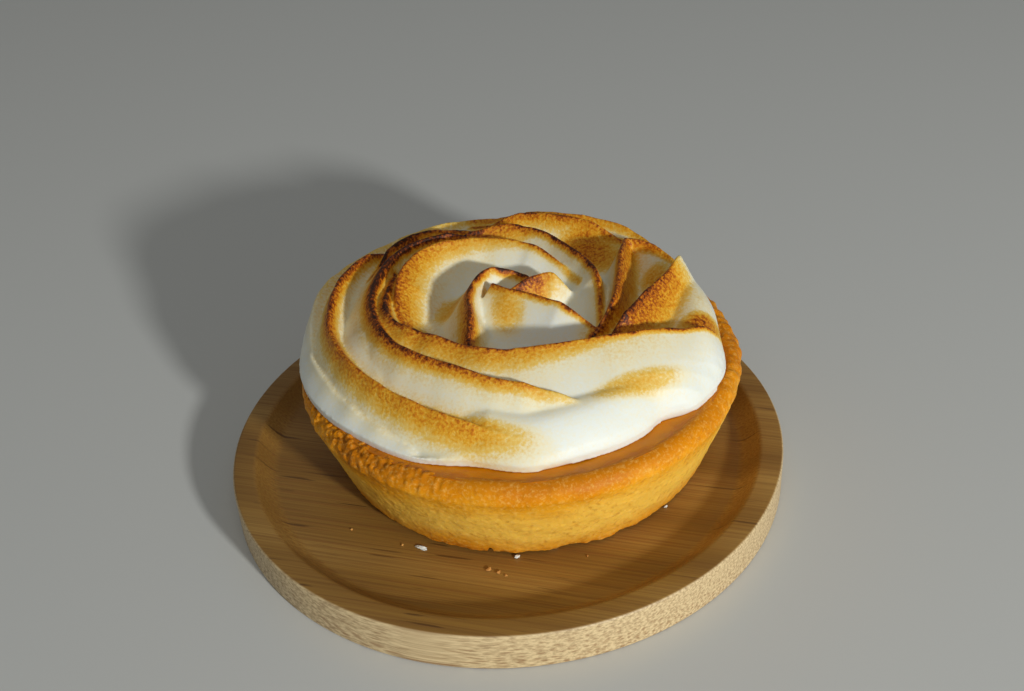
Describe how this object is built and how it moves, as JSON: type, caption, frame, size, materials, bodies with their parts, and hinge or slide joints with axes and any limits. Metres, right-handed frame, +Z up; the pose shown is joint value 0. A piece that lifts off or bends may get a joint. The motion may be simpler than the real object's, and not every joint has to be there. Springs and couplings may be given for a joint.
{
  "type": "small lemon meringue tart on a round dish",
  "caption": "Individual lemon meringue tart: a shortcrust cup of lemon curd under a piped, toasted meringue rosette, resting in the shallow recess of a round bamboo dish.",
  "frame": {"origin": "centre of the dish's flat underside", "axes": "+Z up, -Y towards the front of the tart, +X to its right"},
  "size_m": [0.11, 0.11, 0.0383],
  "materials": {
    "bamboo": "sanded and lightly oiled, straight grain",
    "pastry": "baked golden crumb, browner at the rim and foot",
    "lemon_curd": "set curd, glossy and amber at the edge",
    "meringue": "soft white foam with a faint sheen, toasted brown on its crests"
  },
  "bodies": {
    "root": {"bamboo_dish": "bamboo", "pastry_shell": "pastry", "lemon_filling": "lemon_curd", "meringue_swirl": "meringue"}
  },
  "joints": []
}
